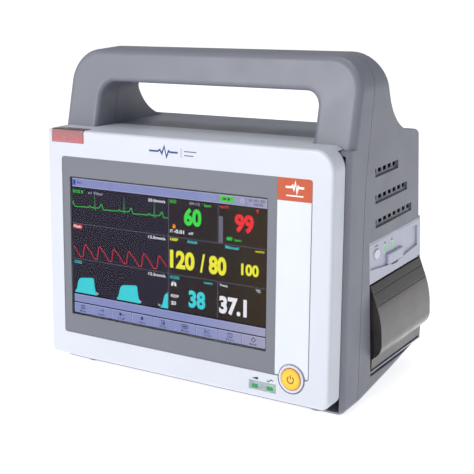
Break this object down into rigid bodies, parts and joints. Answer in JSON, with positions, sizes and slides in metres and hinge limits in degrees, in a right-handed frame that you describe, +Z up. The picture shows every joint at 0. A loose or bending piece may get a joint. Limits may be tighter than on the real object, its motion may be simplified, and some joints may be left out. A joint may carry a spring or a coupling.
{
  "type": "patient monitor",
  "caption": "Portable bedside patient monitor with a leaning colour display, a carrying handle, patient sockets on one side and a strip printer on the other.",
  "frame": {"origin": "under the middle of the object, on the surface that its feet stand on", "axes": "+X to the right of someone facing the screen, +Y from the screen towards the back, +Z up"},
  "size_m": [0.2848, 0.1567, 0.2574],
  "materials": {
    "bezel_white": "fine moulded texture, satin",
    "case_grey": "fine moulded texture, satin",
    "surround_grey": "printed film, satin",
    "strip_white": "printed film, satin",
    "badge_orange": "printed film, satin",
    "key_yellow": "satin",
    "window_grey": "clear pane over green lamps",
    "lamp_green": "lit light pipe",
    "alarm_red": "translucent, clear-coated",
    "screen_glass": "polished",
    "display": "lit display panel",
    "sheet_steel": "zinc plated",
    "steel": "ground",
    "aluminium": "cast, plain",
    "brass": "turned",
    "board_green": "solder mask",
    "black_plastic": "moulded",
    "battery_blue": "shrink sleeve",
    "socket_grey": "moulded",
    "gear_white": "moulded nylon",
    "printer_white": "fine moulded texture, satin",
    "key_grey": "moulded, satin",
    "door_smoke": "smoked, satin",
    "paper": "thermal paper",
    "rubber": "moulded",
    "tube_clear": "silicone"
  },
  "bodies": {
    "case": {"front_bezel": "bezel_white", "front_housing": "case_grey", "rear_housing": "case_grey", "display_surround": "surround_grey", "side_strip": "strip_white", "badge_plate": "badge_orange", "touch_glass": "screen_glass", "lcd_module": "display", "lcd_bracket": "sheet_steel", "key_collar": "bezel_white", "key_switch": "black_plastic", "keypad_board": "board_green", "status_window": "window_grey", "status_lamps": "lamp_green", "alarm_lens": "alarm_red", "alarm_board": "board_green", "chassis": "sheet_steel", "main_board": "board_green", "power_supply": "board_green", "battery_pack": "battery_blue", "battery_cover": "case_grey", "cuff_pump": "aluminium", "valve_block": "black_plastic", "air_tube": "tube_clear", "loudspeaker": "black_plastic", "parameter_board": "board_green", "connector_panel": "socket_grey", "sensor_ports": "socket_grey", "gas_port": "socket_grey", "cuff_port": "steel", "temperature_ports": "socket_grey", "rear_plate": "sheet_steel", "mains_inlet": "black_plastic", "inlet_pins": "brass", "earth_stud": "brass", "network_socket": "steel", "usb_sockets": "steel", "printer_housing": "printer_white", "printer_panel": "printer_white", "printer_lamps": "lamp_green", "door_hinge_pin": "steel", "stepper_motor": "sheet_steel", "thermal_head": "aluminium", "tear_bar": "steel", "printer_board": "board_green", "front_feet": "rubber", "rear_feet": "rubber", "case_screws": "steel", "bracket_inserts": "brass"},
    "power_key": {"power_key": "key_yellow"},
    "feed_key": {"feed_key": "key_grey"},
    "latch": {"latch_tab": "printer_white"},
    "paper_door": {"paper_door": "door_smoke"},
    "paper_roll": {"paper_roll": "paper", "roll_spindle": "black_plastic"},
    "platen": {"platen_roller": "rubber", "platen_shaft": "steel", "platen_gear": "gear_white"},
    "idler": {"idler_gear": "gear_white"},
    "pinion": {"motor_pinion": "brass"}
  },
  "joints": [
    {"name": "power_key_press", "type": "slide", "parent": "case", "child": "power_key", "axis": [0, 0.9962, -0.0872], "range_m": [0, 0.0012], "stiffness_N_per_m": 400},
    {"name": "feed_key_press", "type": "slide", "parent": "case", "child": "feed_key", "axis": [-1, 0, 0], "range_m": [0, 0.0008], "stiffness_N_per_m": 400},
    {"name": "latch_slide", "type": "slide", "parent": "case", "child": "latch", "axis": [0, 0, 1], "range_m": [0, 0.0025], "stiffness_N_per_m": 300},
    {"name": "paper_door_hinge", "type": "hinge", "parent": "case", "child": "paper_door", "pos_m": [0.1305, 0.0308, 0.0246], "axis": [0, 1, 0], "range_deg": [0, 85]},
    {"name": "paper_roll_spin", "type": "hinge", "parent": "case", "child": "paper_roll", "pos_m": [0.113, 0.0308, 0.05], "axis": [0, 1, 0], "continuous": true},
    {"name": "platen_spin", "type": "hinge", "parent": "case", "child": "platen", "pos_m": [0.124, 0.0308, 0.0815], "axis": [0, 1, 0], "continuous": true},
    {"name": "idler_spin", "type": "hinge", "parent": "case", "child": "idler", "pos_m": [0.11151, -0.0108, 0.08871], "axis": [0, 1, 0], "continuous": true},
    {"name": "pinion_spin", "type": "hinge", "parent": "case", "child": "pinion", "pos_m": [0.09965, -0.0108, 0.08439], "axis": [0, 1, 0], "continuous": true}
  ],
  "couplings": [
    {"joint": "idler_spin", "follows": "platen_spin", "ratio": -0.6},
    {"joint": "pinion_spin", "follows": "platen_spin", "ratio": 1.5}
  ]
}
